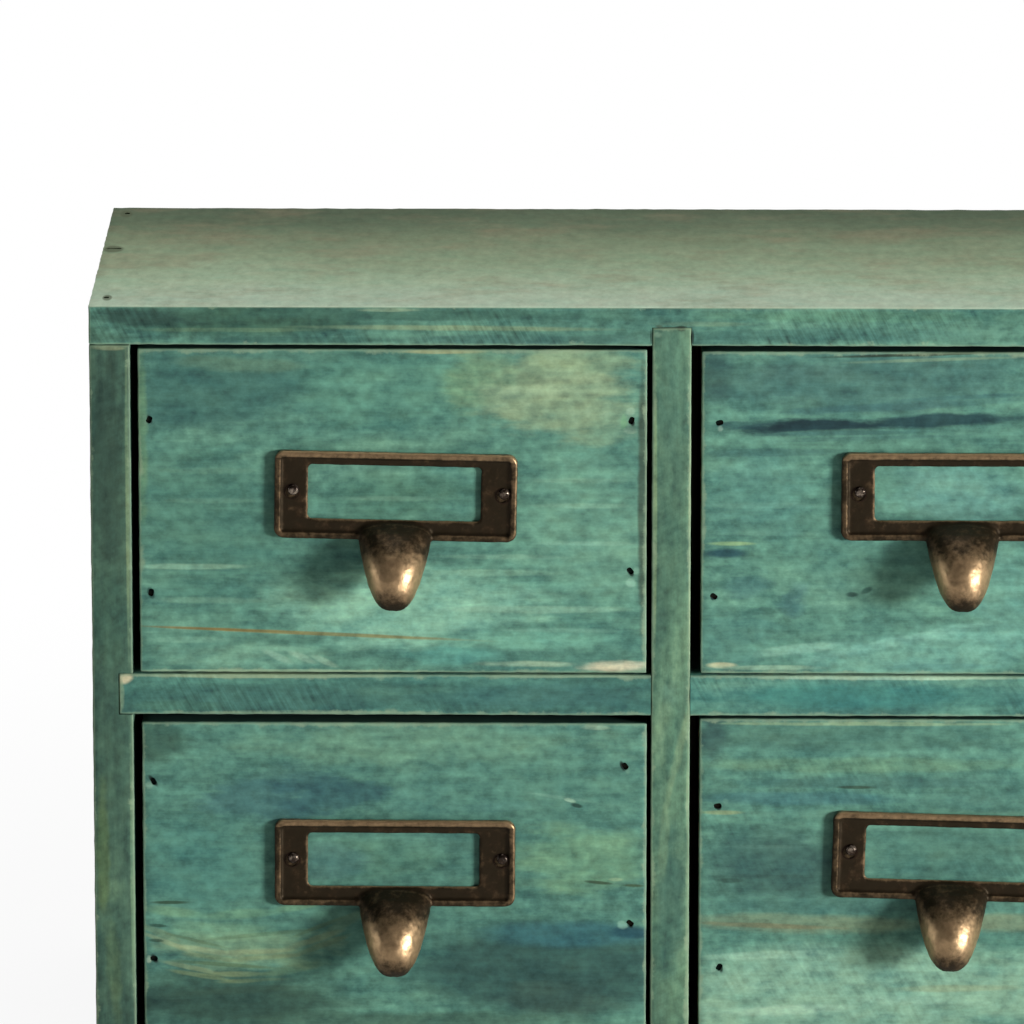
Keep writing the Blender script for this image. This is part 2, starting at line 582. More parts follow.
def fade_top(board, low, high):
    """Over the stain, the upper face's own pale finish, mottled and darker towards the back."""
    tree = board.data.materials[0].node_tree
    surface = next(node for node in tree.nodes if node.type == "BSDF_PRINCIPLED")
    stained = surface.inputs["Base Color"].links[0].from_socket
    matt = surface.inputs["Roughness"].links[0].from_socket
    place = millimetres(tree)
    parts = wire(tree, "SeparateXYZ", {0: place}, None)
    drift = off_middle(tree, speckle(tree, place, (0.02, 0.03, 0.03), 4.0, 0.65))
    back = wire(tree, "MapRange", {"Value": parts["Y"], "From Min": low.y / MM, "From Max": high.y / MM})
    pale = colour_run(tree, weigh(tree, back, (drift, 0.3)), SUN_PALE)
    blush = fade(tree, speckle(tree, place, (0.03, 0.05, 0.05), 4.0, 0.7), 0.46, 0.7, 0.0, 0.35)
    pale = blend_colour(tree, blush, pale, BLUSH)
    fine = off_middle(tree, speckle(tree, place, (0.3, 0.14, 0.3), 5.0, 0.75))
    fine = weigh(tree, 1.0, (fine, 0.85))
    tint = off_middle(tree, speckle(tree, place, (0.1, 0.16, 0.16), 3.0, 0.7))
    tinted = {0: weigh(tree, fine, (tint, 0.35)), 1: fine, 2: fine}
    pale = shift(tree, "MULTIPLY", pale, wire(tree, "CombineXYZ", tinted))
    for end in (-1, 1):
        for x, y, half_x, half_y in TOP_DENTS:
            feeds = {"Place": place, "Centre": (end * x, y, high.z / MM), "Half": (half_x, half_y, 9.0)}
            dent = wire(tree, "Group", {**feeds, "Rag": 0.1}, "Mask", node_tree=stain_mark)
            pale = blend_colour(tree, reckon(tree, "MULTIPLY", dent, 0.75), pale, GRIME)
    upper = fade(tree, parts["Z"], high.z / MM - 0.55, high.z / MM - 0.25)
    tree.links.new(blend_colour(tree, upper, stained, pale), surface.inputs["Base Color"])
    tree.links.new(weigh(tree, matt, (upper, 0.3)), surface.inputs["Roughness"])


top_board, low, high = planed_board("top_board")
let_in(top_board, low, high, low.z, 1)
for nails in ("top_brads", "top_staples"):
    punch(top_board, nails, (0, 0, 1), TIGHT)
looks = {"shade": (0.52, 0.6), "tone": 0.86, "saw": 0.3, "inside": 0.0}
stain(top_board, low, high, ALONG_X, 17, TEAL, TOP_MARKS, (0, 26, 180), 2.8, 0.4, **looks)
fade_top(top_board, low, high)
settle(top_board, "carcass", "top_board")

# Back panel
# Three-millimetre plywood in the rebates, tacked round its edges. It was only wiped with thin stain, so the
# wood's own straw colour shows through. The drawer bottoms are the same plywood, left bare.

STRAW = ((0.0, 150, 118, 80), (0.5, 182, 150, 106), (1.0, 205, 176, 132))
THIN_STAIN = dye(96, 128, 108)
PLY_RING = 7.0  # millimetres from ring to ring where the saw or the knife has cut them
WOOD_RELIEF = 0.08 * MM


def unfinished_wood(name, washed, grain, along=(0, 0, 0), pith=(0, 160, 40), ring=PLY_RING, stops=STRAW):
    """Bare wood with its rings, fibres and pores and, if washed, a thin wipe of stain. Rings as broad as
    these are the wavy figure of rotary-cut plywood."""
    finish, tree = new_finish(name)
    turned = wire(tree, "Mapping", {"Vector": millimetres(tree), "Rotation": grain, "Location": along})
    feeds = {"Place": turned, "Pith": pith, "Ring": ring}
    figure = wire(tree, "Group", feeds, None, node_tree=pine_figure)
    fibre = off_middle(tree, figure["Fibre"])
    uptake = weigh(tree, figure["Cloud"], (fibre, 1.1), (figure["Rings"], -0.35))
    wiped = fade(tree, figure["Cloud"], 0.32, 0.62, washed * 0.75, washed)
    colour = blend_colour(tree, wiped, colour_run(tree, uptake, stops), THIN_STAIN)
    rough = weigh(tree, 0.5, (figure["Fibre"], 0.3))
    height = weigh(tree, figure["Fibre"], (figure["Speck"], 0.5))
    coated_surface(tree, colour, rough, height, WOOD_RELIEF, 0.3)
    return finish


def coat(node, finish):
    """Gives a CAD node's whole surface this finish."""
    for place in nodes[node].material_slots:
        place.material = finish


coat("back_panel", unfinished_wood("washed_plywood", 0.55, ALONG_Z))

# Nails of the carcass
# Dark steel brads with small oblong heads, and a staple over each side panel, all sunk below the surface.
# Round-headed tacks hold the back panel.

TARNISH = dye(62, 45, 30)
DEEP_PATINA = dye(34, 20, 13)  # where nobody rubs
PITTING = 0.08 * MM


def metal(name, dull, bright, roughness, attribute=None, relief=PITTING):
    """Metal with a dull skin that is rubbed bright in places, by noise or where an attribute says, and with
    deep patina where that is below nothing."""
    finish, tree = new_finish(name)
    place = millimetres(tree)
    pitting = speckle(tree, place, (0.75, 0.75, 0.75), 3.0, 0.6)
    tarnish = speckle(tree, place, (0.3, 0.3, 0.3), 3.0, 0.65)
    bare = fade(tree, pitting, 0.45, 0.75)
    if attribute:
        rubbed = wire(tree, "Attribute", (), "Fac", attribute_name=attribute)
        mottling = ((off_middle(tree, pitting), 0.5), (off_middle(tree, tarnish), 0.75))
        bare = fade(tree, weigh(tree, rubbed, *mottling), 0.1, 1.0)
    colour = blend_colour(tree, bare, dye(*dull), dye(*bright))
    colour = blend_colour(tree, fade(tree, tarnish, 0.45, 0.7, 0.0, 0.35), colour, TARNISH)
    if attribute:
        colour = blend_colour(tree, fade(tree, rubbed, 0.0, -0.5, 0.0, 0.85), colour, DEEP_PATINA)
    rough = weigh(tree, roughness - 0.15, (pitting, 0.3), (bare, -0.1))
    coated_surface(tree, colour, rough, pitting, relief, 0.15, weigh(tree, 0.6, (bare, 0.2)))
    return finish


dark_steel = metal("dark_steel", (6, 16, 14), (20, 30, 27), 0.75)
dusty_steel = metal("dusty_steel", (104, 108, 88), (132, 136, 112), 0.8)
for node in ("bottom_brads", "shelf_brads", "back_tacks"):
    coat(node, dark_steel)
for node in ("top_brads", "top_staples"):
    coat(node, dusty_steel)

# Drawer fronts
# Four inset pine fronts, grain from side to side, each stained by hand, so that every one has its own
# streaks and bare patches. Two brads at each end nail it to the drawer's sides.

FRONT_ARRIS = 0.4 * MM
# How far the stain was taken up, its tone, and how strongly saw marks and growth rings show
FRONT_LOOKS = {
    "upper_left": (0.56, 0.96, 0.03, 0.22),
    "upper_right": (0.5, 0.95, 0.06, 0.12),
    "lower_left": (0.48, 1.0, 0.03, -0.06),
    "lower_right": (0.52, 0.96, 0.12, 0.1),
}
FRONT_MARKS = {
    "upper_left": (
        (19.7, 73.5, 29.2, 13.6, 62, 106, 98, 85, 25), (62.9, 75.5, 27.9, 13.1, 84, 134, 116, 60, 30),
        (26.1, 80.9, 17.8, 2.1, 96, 128, 104, 50, 30, -2), (16.9, 38.6, 22.9, 23.6, 76, 123, 108, 75, 30),
        (115, 38.9, 20.4, 22.3, 104, 152, 131, 75, 30), (66.5, 17.5, 38.3, 12.1, 136, 188, 162, 88, 30),
        (85.5, 74.8, 8.6, 8.9, 106, 144, 110, 65, 35), (106.3, 72.5, 24.4, 12.6, 138, 162, 128, 78, 40),
        (103.5, 75.6, 16.2, 6.3, 148, 170, 134, 45, 50, 8), (111.1, 81.9, 16.7, 3.9, 134, 164, 130, 70, 35),
        (89.5, 80.5, 9.1, 4.5, 118, 152, 118, 60, 40, -14),
        (100, 77.9, 4.1, 2.4, 112, 136, 106, 50, 40, 20), (118.8, 63.3, 10.2, 5.2, 130, 162, 130, 60, 40),
        (1, 60.9, 1.8, 24.9, 110, 150, 112, 60, 25), (25.6, 4.3, 26.8, 3.9, 122, 171, 146, 75, 30),
        (80.6, 4.7, 15.3, 3.1, 88, 152, 140, 70, 30), (97.2, 8.7, 28.1, 3.1, 112, 170, 148, 60, 30),
        (101, 16.8, 26.6, 1.2, 138, 182, 156, 65, 20), (13, 27.9, 15.3, 0.92, 134, 176, 150, 65, 20),
        (92.1, 30.7, 20.4, 0.79, 126, 170, 146, 50, 20), (12.8, 8.5, 13.3, 1, 124, 170, 146, 50, 25),
        (89.5, 26.5, 21.4, 1, 130, 176, 150, 60, 20), (115, 34.2, 14, 0.79, 130, 174, 150, 50, 20),
        (113.7, 44.1, 15.3, 0.79, 126, 170, 146, 50, 20), (112.9, 50.7, 14, 0.79, 120, 162, 138, 40, 20),
        (15.5, 19, 16.3, 1, 122, 166, 142, 50, 20), (107.4, 11.3, 17.9, 0.79, 122, 168, 146, 40, 20),
        (18.3, 53.1, 16.3, 1, 106, 148, 124, 40, 20), (19.5, 45.2, 15.3, 0.79, 106, 148, 126, 40, 20),
        (64.6, 47.4, 21.9, 7.1, 76, 120, 99, 50, 30), (64.1, 45.8, 15.8, 0.79, 112, 154, 132, 45, 20),
        (43.5, 10.4, 45.5, 0.6, 138, 128, 76, 80, 10, -2.4),
        (19.2, 11.4, 20.4, 0.42, 120, 96, 46, 60, 10, -2.2), (35, 4.3, 4.6, 1, 150, 186, 160, 50, 30, -24),
        (41.4, 4.1, 4.6, 1, 154, 190, 164, 50, 30, -24), (47.3, 3, 4.6, 1, 150, 186, 160, 50, 30, -24),
        (120.7, 1.9, 11.8, 1.7, 214, 208, 176, 85, 30), (99.7, 2.4, 12.8, 1, 164, 192, 160, 65, 30),
        (78.1, 84.2, 11.7, 0.68, 166, 168, 122, 70, 20), (128.4, 45.5, 1.5, 42, 58, 70, 56, 80, 15),
        (40.9, 0.4, 43.5, 0.52, 158, 184, 150, 60, 30), (1.9, 66.7, 0.7, 1.4, 112, 152, 130, 49, 45),
        (3, 66.5, 0.7, 1.3, 8, 18, 16, 95, 6, 20), (123.7, 65.9, 1, 2.4, 112, 166, 116, 42, 45),
        (125.4, 68.8, 1.3, 1, 156, 186, 158, 42, 45), (125.4, 63.6, 1.9, 1, 160, 186, 158, 42, 45),
        (125.7, 66.1, 0.7, 1.4, 8, 18, 16, 95, 6, 10), (3, 20.7, 1, 1.8, 24, 56, 50, 85, 12, 20),
        (126.8, 27.1, 0.9, 1.4, 140, 184, 160, 45, 45), (125.7, 24, 1.3, 1.2, 146, 190, 166, 45, 45),
        (125.4, 26.7, 0.8, 1.4, 8, 18, 16, 95, 6, 30),
    ),
    "upper_right": (
        (42.7, 76.6, 50.7, 9.4, 72, 114, 106, 85, 25), (3.6, 78.6, 5.1, 7.9, 58, 92, 86, 75, 25),
        (24.9, 79.2, 15.2, 2.6, 72, 108, 100, 50, 30, 2), (8.8, 8.9, 11.5, 8.4, 84, 134, 122, 60, 30),
        (58.6, 6.4, 38.3, 7.3, 114, 168, 150, 80, 25, 6), (78.9, 19.6, 11.7, 18.3, 106, 158, 142, 65, 30),
        (65.8, 47.8, 22.9, 8.4, 108, 160, 146, 75, 25), (106.5, 51.1, 22.9, 23.6, 92, 142, 124, 60, 30),
        (108.6, 73.4, 20.3, 6.6, 84, 126, 112, 60, 30), (17.4, 58.2, 18.8, 1.3, 62, 102, 98, 60, 20, 1),
        (15.4, 54.5, 15.8, 1, 104, 154, 136, 55, 20), (17.5, 51.4, 16.8, 1, 72, 114, 106, 50, 20),
        (16.2, 48.7, 15.8, 1, 98, 150, 132, 50, 20), (16.3, 44.3, 15.8, 1, 112, 160, 140, 55, 20),
        (18.1, 40.4, 15.8, 0.92, 82, 128, 114, 50, 20), (17.6, 37, 15.3, 0.79, 104, 152, 134, 45, 20),
        (25, 64.8, 25.4, 2.2, 22, 50, 58, 95, 45, 0.8), (59.3, 66.7, 29.9, 2.2, 28, 60, 66, 90, 45, 3.2),
        (10.3, 65.2, 8.6, 1.3, 44, 84, 86, 65, 45, 3), (35.2, 63.2, 22.8, 0.79, 48, 86, 88, 60, 30, 1),
        (50.3, 70.3, 34.2, 1.3, 62, 104, 104, 70, 20, 3), (66.8, 72.7, 21.3, 0.79, 64, 108, 106, 60, 15, 3),
        (40.3, 61.9, 30.5, 0.66, 70, 112, 106, 45, 20, 2), (55.8, 83.8, 28.4, 0.5, 46, 58, 42, 88, 6, 1.8),
        (57.8, 82.4, 25.3, 0.52, 132, 156, 124, 45, 20, 2), (7.7, 34.3, 6.9, 0.68, 146, 180, 128, 75, 8),
        (6.4, 31.7, 7.1, 1.6, 34, 74, 84, 85, 15), (11.3, 23, 6.6, 3.4, 64, 110, 112, 50, 35),
        (24.3, 18.9, 4.6, 4.7, 58, 100, 106, 55, 40), (38.6, 21, 1.8, 0.79, 40, 72, 66, 85, 10),
        (42.4, 22.1, 2, 1, 42, 78, 70, 80, 15, 30), (52.2, 9, 29.4, 1.6, 132, 186, 166, 50, 25, 12),
        (22.9, 6.3, 13.3, 1.6, 138, 188, 166, 55, 30, 6), (15.5, 47.2, 15.8, 12.1, 98, 152, 138, 40, 30),
        (61.2, 2, 19.2, 1, 82, 132, 124, 60, 25, 1), (5.6, 2.3, 4.1, 0.92, 186, 190, 152, 80, 20),
        (19.1, 1.6, 16.3, 0.79, 146, 182, 154, 70, 25), (4.7, 64.3, 0.9, 0.89, 168, 196, 176, 56, 45),
        (4.6, 65.9, 0.7, 0.81, 14, 40, 38, 90, 8), (3.2, 20.1, 0.8, 0.89, 8, 36, 44, 90, 10),
    ),
    "lower_left": (
        (71.3, 77.9, 51.3, 6.4, 104, 148, 124, 80, 30), (4.7, 77.9, 7.7, 7, 60, 94, 80, 80, 30),
        (14.7, 46.9, 17.5, 14.7, 80, 132, 119, 85, 25), (31.5, 63.8, 19.2, 7.5, 58, 100, 102, 75, 40, 3),
        (50.2, 63.9, 16.4, 7, 46, 86, 92, 70, 60), (71.3, 63.1, 10.3, 5.9, 86, 136, 122, 60, 30),
        (107.2, 65.9, 21.6, 9.1, 90, 138, 120, 65, 30), (91.8, 61.6, 12.8, 1.6, 76, 124, 116, 40, 30, 4),
        (112.4, 47.2, 20.6, 10.7, 112, 156, 124, 80, 35), (59.7, 47.1, 26.7, 6.4, 84, 128, 108, 65, 25),
        (48.1, 47, 10.3, 5.3, 74, 116, 114, 50, 30), (22.1, 9.5, 36.1, 10.2, 48, 78, 68, 92, 20),
        (103.4, 17.8, 42.5, 13.9, 50, 85, 79, 96, 12), (109.8, 27.4, 25.8, 4, 54, 102, 106, 85, 15),
        (125.3, 28, 6.7, 2.1, 30, 70, 82, 85, 20), (107.3, 9.8, 18.1, 5.3, 60, 86, 76, 60, 30),
        (68.6, 4.3, 51.6, 2.7, 64, 92, 76, 60, 30), (21, 28.2, 17, 3.2, 114, 158, 128, 65, 25, -2),
        (7.4, 33.2, 9.8, 1.6, 112, 156, 124, 70, 15, -6), (24.4, 32.5, 10.8, 1.6, 112, 156, 124, 70, 15, 3),
        (41.1, 35.2, 10.8, 1.6, 108, 152, 120, 70, 15, 15),
        (24.8, 22.6, 26.8, 5.3, 126, 160, 126, 66, 45, 1),
        (4.2, 27.6, 7.7, 1.1, 128, 154, 118, 55, 30, -24),
        (6.8, 24.7, 8.8, 0.8, 144, 162, 124, 60, 25, -22),
        (16.3, 22.8, 10.3, 0.91, 148, 166, 128, 65, 25, -10),
        (17.6, 21, 10.3, 0.8, 132, 154, 114, 60, 25, -8),
        (28.9, 22.6, 11.3, 0.91, 144, 162, 124, 60, 25, 3),
        (30.5, 21, 11.9, 0.86, 130, 150, 112, 60, 25, 5),
        (42.3, 25.3, 10.8, 0.96, 130, 150, 114, 50, 30, 18),
        (44.9, 24, 10.3, 0.91, 108, 132, 98, 50, 30, 20), (52.2, 30.5, 6.7, 1.6, 96, 122, 92, 40, 35, 32),
        (11.9, 18.3, 10.8, 0.8, 134, 152, 114, 55, 30, -12),
        (14.4, 16.2, 11.3, 0.7, 118, 138, 100, 50, 30, -9), (25.5, 16.5, 10.8, 0.86, 126, 146, 106, 55, 30),
        (27.3, 14.9, 10.8, 0.7, 108, 128, 92, 50, 30, 3),
        (38.2, 18.1, 10.3, 1.6, 104, 134, 100, 45, 20, 14),
        (20.9, 19.1, 16.5, 0.64, 86, 112, 80, 70, 12, -4),
        (13.5, 25.5, 10.3, 0.53, 96, 124, 92, 60, 12, -14), (30.5, 27.2, 15.5, 0.7, 90, 120, 90, 55, 15, 6),
        (45.5, 29.4, 9.3, 0.7, 88, 116, 86, 60, 15, 22), (24.7, 12.2, 20.6, 1.3, 58, 86, 72, 60, 20, 4),
        (7.1, 35.7, 5.9, 0.59, 44, 68, 48, 88, 8), (3.7, 29.5, 2.6, 0.53, 46, 76, 60, 80, 10, -4),
        (3.2, 25.5, 2.3, 0.53, 46, 76, 60, 80, 10, -4), (117, 41.4, 4.4, 0.51, 58, 78, 54, 85, 8, -5),
        (126.3, 40.6, 3.3, 0.45, 66, 84, 56, 80, 8, -2), (121.6, 42.2, 2.1, 0.53, 152, 180, 142, 60, 20),
        (111.6, 61.9, 1.8, 0.67, 34, 64, 54, 88, 10, -14),
        (109.8, 63.3, 1.8, 0.59, 162, 196, 168, 80, 15, -14),
        (116.1, 82.6, 4.1, 0.8, 160, 190, 160, 60, 20),
        (107.2, 64.1, 10.3, 0.53, 120, 164, 144, 40, 20, -8), (1.7, 66.7, 1.3, 1.2, 146, 186, 162, 45, 45),
        (2.9, 68.1, 0.7, 2.1, 8, 18, 16, 95, 6, 38), (124.5, 71.3, 0.8, 1.4, 126, 172, 148, 42, 45, 10),
        (123.2, 72.5, 0.7, 1.6, 8, 18, 16, 95, 6, 20), (1.3, 20.2, 0.8, 1.1, 186, 208, 180, 59, 45),
        (2.8, 20.6, 0.8, 1.6, 8, 18, 16, 95, 6, 30), (123.1, 30.1, 1.5, 1.4, 144, 194, 174, 52, 45),
        (125.3, 30.3, 0.8, 1.4, 8, 18, 16, 95, 6, 25),
    ),
    "lower_right": (
        (38.6, 80.6, 48.6, 4.8, 74, 118, 104, 80, 20), (3.3, 79.7, 5.1, 6.9, 52, 84, 80, 85, 25),
        (18.1, 79.5, 15.4, 2.7, 72, 112, 100, 40, 30), (41.2, 72.9, 48.7, 2.4, 104, 146, 118, 75, 15),
        (46.4, 68.3, 43.6, 1.9, 68, 110, 102, 75, 15), (25.9, 64, 29.7, 2.1, 70, 118, 117, 75, 15),
        (72, 63.6, 23.1, 2.4, 84, 130, 116, 60, 20), (51.6, 59.8, 53.8, 1.6, 94, 140, 122, 65, 20),
        (19.6, 46.1, 24.7, 11.8, 58, 94, 88, 90, 20), (64.5, 48.9, 25.7, 8.6, 76, 120, 106, 80, 20),
        (105.6, 50.3, 25.7, 10.7, 82, 126, 112, 80, 20), (39, 35.4, 48.8, 2.4, 76, 120, 109, 70, 20),
        (41.7, 12.7, 56.7, 15.5, 130, 172, 148, 95, 18), (88.1, 12.9, 30.9, 13.4, 134, 174, 148, 85, 20),
        (26.1, 30.8, 33.4, 2.9, 120, 138, 108, 70, 25, -1), (77.6, 31, 23.1, 2.7, 122, 138, 108, 70, 25),
        (18.4, 30, 20.6, 0.8, 126, 116, 84, 50, 20, -2), (40.2, 67, 5.9, 0.53, 50, 74, 60, 85, 6),
        (5.9, 60.2, 5.9, 0.69, 138, 156, 114, 70, 12), (18.3, 43.1, 16.4, 0.8, 54, 86, 78, 60, 20),
        (8.3, 42, 4.4, 0.8, 46, 74, 64, 65, 15), (15.7, 51.1, 15.4, 0.67, 84, 124, 112, 40, 20),
        (17.2, 22, 17, 1.3, 150, 192, 166, 60, 20, 2), (16, 14, 16.5, 1.3, 142, 184, 158, 55, 20),
        (22.4, 7.3, 18.6, 1.6, 156, 194, 168, 60, 20, 3),
        (52.1, 10.1, 15.5, 1.3, 146, 186, 160, 50, 20, -2),
        (66.2, 13.3, 21.6, 1.1, 140, 156, 122, 55, 20, 1), (5.7, 7.3, 6.2, 5.9, 140, 180, 152, 60, 30),
        (41.1, 83.8, 38.4, 0.59, 150, 172, 130, 50, 30), (6.9, 63, 1, 1, 116, 166, 146, 42, 45),
        (5.1, 61.7, 0.9, 1.1, 8, 18, 16, 95, 6), (4, 18.6, 1, 2, 144, 186, 162, 42, 45),
        (7.4, 18.6, 1, 2, 138, 178, 154, 35, 45), (5.9, 18.6, 0.6, 1.4, 8, 32, 24, 95, 6, 5),
    ),
}
for seed, (drawer, (taken, tone, saw, lines)) in enumerate(FRONT_LOOKS.items()):
    node = drawer + "_front"
    front, low, high = planed_board(node, FRONT_ARRIS)
    punch(front, drawer + "_front_brads", (0, -1, 0))
    looks = {"shade": (taken, 0.5), "tone": tone, "saw": saw, "lines": lines, "inside": 0.6, "rim": 0.85}
    pith = (0, 34, 70 + 90 * seed)
    stain(front, low, high, ALONG_X, 21 + 4 * seed, TEAL, FRONT_MARKS[drawer], pith, 4.8, 0.7, **looks)
    settle(front, drawer + "_drawer", node)
    coat(drawer + "_front_brads", dark_steel)

# Drawer boxes
# Planed pine sides and backs left bare behind the stained fronts, with plywood bottoms slid into grooves.
# Brads hold the backs, and two tacks the bottom of each.

ALONG_Y = (0, 0, math.pi / 2)  # turn of the figure for boards whose grain runs from front to back
HONEY = ((0.0, 148, 112, 72), (0.5, 180, 146, 102), (1.0, 197, 168, 126))
side_pine = unfinished_wood("side_pine", 0.0, ALONG_Y, (41, 0, 9), (0, 28, 65), 3.2, HONEY)
back_pine = unfinished_wood("back_pine", 0.0, ALONG_X, (82, 0, 18), (0, 28, 70), 3.2, HONEY)
bottom_ply = unfinished_wood("bottom_plywood", 0.0, ALONG_X)
BOX_FINISHES = {
    "left_side": side_pine,
    "right_side": side_pine,
    "back": back_pine,
    "bottom": bottom_ply,
    "rear_brads": dark_steel,
    "bottom_tacks": dark_steel,
}
for drawer in FRONT_LOOKS:
    for part, finish in BOX_FINISHES.items():
        coat(drawer + "_" + part, finish)

# Label pulls
# One casting each: a flat frame with a raised bead, a window for a paper label and a spoon-shaped finger
# pull below. Brass under a brown-black patina, rubbed bright on the bead and on the spoon's tip. Two
# round-headed pins hold it to the front.

PULL = Vector((62.0, 1.3, 23.1)) * MM  # the flat frame: across, thick, up
PULL_CORNER = 2.6 * MM
BEAD_W = 2.0 * MM
BEAD_RISE = 0.8 * MM  # above the flat
BEAD_ROUND = 0.72 * MM
WINDOW = Vector((43.7, 0, 13.8)) * MM
WINDOW_SHIFT = Vector((-0.3, 0, 0.8)) * MM
WINDOW_CORNER = 0.9 * MM
LIP = 0.75 * MM  # bevel round the window
CARD_SLOT = 0.5 * MM
CARD_LAP = 2.2 * MM
SPOON_DROP = 16.6 * MM
SPOON_REACH = 10.5 * MM
SPOON_ROOT = 0.5 * MM  # above the frame's lower edge
SPOON_HALF_W = 9.5 * MM
SPOON_TAPER = 0.35
SPOON_CREST = 7.6 * MM
SPOON_PEAK = 10.0 * MM
SPOON_HEEL = 13.0 * MM
SPOON_WALL = 1.3 * MM
SPOON_RINGS = 22
SPOON_ROUND = 64
SPOON_SUNK = 0.4  # how far its back goes into the frame, as a share of the frame's thickness
HANDLED = 7.2  # millimetres up from the tip to where fingers rub the spoon most
HANDLED_BELOW = 5.8
HANDLED_ABOVE = 6.2
UNRUBBED_TIP = 4.0
CAST_GRAIN = 0.26 * MM  # size of the facets that the casting is drawn with
SKIN_DEPTH = 0.22 * MM  # unevenness of its skin
PIN_PLACES = (-26.1 * MM, 27.6 * MM)  # across, from the frame's centre
PIN_RISE = 1.3 * MM
PIN_HEAD = 1.45 * MM  # radius
PIN_DOME = 1.05 * MM
PIN_SHANK = 0.6 * MM  # radius
PIN_LENGTH = 8 * MM
PIN_BORE = 1.6 * MM  # radius
BORE_DEPTH = 0.9 * MM
BORE_OFF = Vector((-0.35, 0, -0.75)) * MM  # from the pin
BORE_SHADE = Vector((-0.3, 0, -0.6)) * MM  # the middle of the dark ring round the pin
SQUARE_TO_FRONT = (math.pi / 2, 0, 0)
spoon_tip = Vector((0, -PULL.y - SPOON_REACH, SPOON_ROOT - PULL.z / 2 - SPOON_DROP))


def rounded_block(name, low, high, corner):
    """A block whose edges from front to back are rounded."""
    block = sawn_block(name, low, high)
    bpy.ops.object.mode_set(mode="EDIT")
    pick(block, "EDGE", lambda edge: runs_along(edge, Vector((0, 1, 0))))
    bpy.ops.mesh.bevel(offset=corner, segments=8, affect="EDGES")
    bpy.ops.object.mode_set(mode="OBJECT")
    return block


def label_frame():
    """The flat frame with its bead, window and the slot for the label behind it, about its own centre."""
    half = Vector((PULL.x / 2, 0, PULL.z / 2))
    plate = rounded_block("label_frame", (-half.x, -PULL.y, -half.z), (half.x, 0, half.z), PULL_CORNER)
    bpy.ops.object.mode_set(mode="EDIT")
    forward = lambda face: face.normal.y < -0.99
    pick(plate, "FACE", forward)
    bpy.ops.mesh.inset(thickness=BEAD_W)
    pick(plate, "FACE", lambda face: forward(face) and face.calc_area() < 0.5 * PULL.x * PULL.z)
    bpy.ops.mesh.extrude_region_move(TRANSFORM_OT_translate={"value": (0, -BEAD_RISE, 0)})
    crest = -PULL.y - BEAD_RISE + 0.01 * MM
    on_crest = lambda edge: all(vertex.co.y < crest for vertex in edge.verts)
    pick(plate, "EDGE", lambda edge: on_crest(edge) and not all(map(forward, edge.link_faces)))
    bpy.ops.mesh.bevel(offset=BEAD_ROUND, segments=4, affect="EDGES")
    bpy.ops.object.mode_set(mode="OBJECT")
    low = WINDOW_SHIFT - WINDOW / 2 - Vector((0, PAST, 0))
    high = WINDOW_SHIFT + WINDOW / 2 + Vector((0, PAST, 0))
    cut_away(plate, rounded_block("window", low, high, WINDOW_CORNER))
    take_up(plate)
    bpy.ops.object.mode_set(mode="EDIT")
    inside = WINDOW / 2 + Vector((0.05, 0, 0.05)) * MM
    flat = lambda p: abs(p.y + PULL.y) < 0.01 * MM
    within = lambda p: all(abs((p - WINDOW_SHIFT)[i]) < inside[i] for i in (0, 2))
    pick(plate, "EDGE", lambda edge: all(flat(vertex.co) and within(vertex.co) for vertex in edge.verts))
    bpy.ops.mesh.bevel(offset=LIP, segments=3, affect="EDGES")
    bpy.ops.object.mode_set(mode="OBJECT")
    slot_low = (low.x - CARD_LAP, -CARD_SLOT, low.z - CARD_LAP)
    recess(plate, slot_low, (high.x + CARD_LAP, PAST, half.z + PAST))
    return plate


